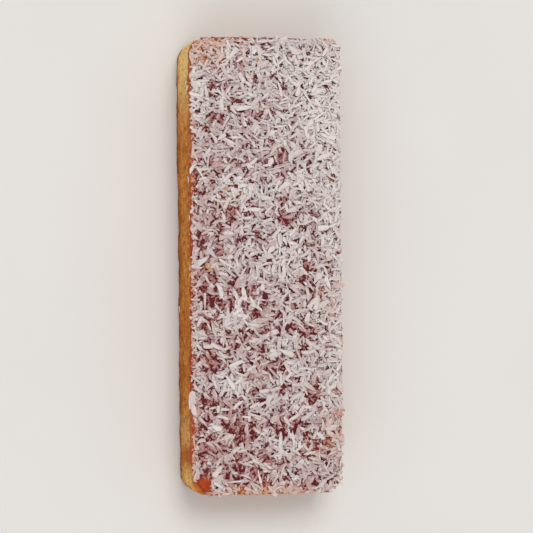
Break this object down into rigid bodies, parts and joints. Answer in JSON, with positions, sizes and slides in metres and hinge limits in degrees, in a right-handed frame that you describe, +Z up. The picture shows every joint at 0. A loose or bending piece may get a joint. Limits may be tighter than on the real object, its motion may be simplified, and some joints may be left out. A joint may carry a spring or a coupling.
{
  "type": "slice of coconut cake",
  "caption": "Finger slice of plain golden sponge under a thin sheet of raspberry jam covered with white coconut shreds.",
  "frame": {"origin": "middle of the base of the slice's box, on the surface that the slice rests on", "axes": "+Y along the slice towards its squarer end, +X across it away from the side that the picture shows, +Z up"},
  "size_m": [0.0436, 0.1276, 0.0207],
  "materials": {
    "sponge": "matt open crumb, browner at the baked base",
    "jam": "glossy, dark red, orange-red where it is thin",
    "coconut": "satin white, stained pink where it touches the jam"
  },
  "bodies": {
    "root": {"sponge": "sponge", "jam_layer": "jam"}
  },
  "joints": []
}
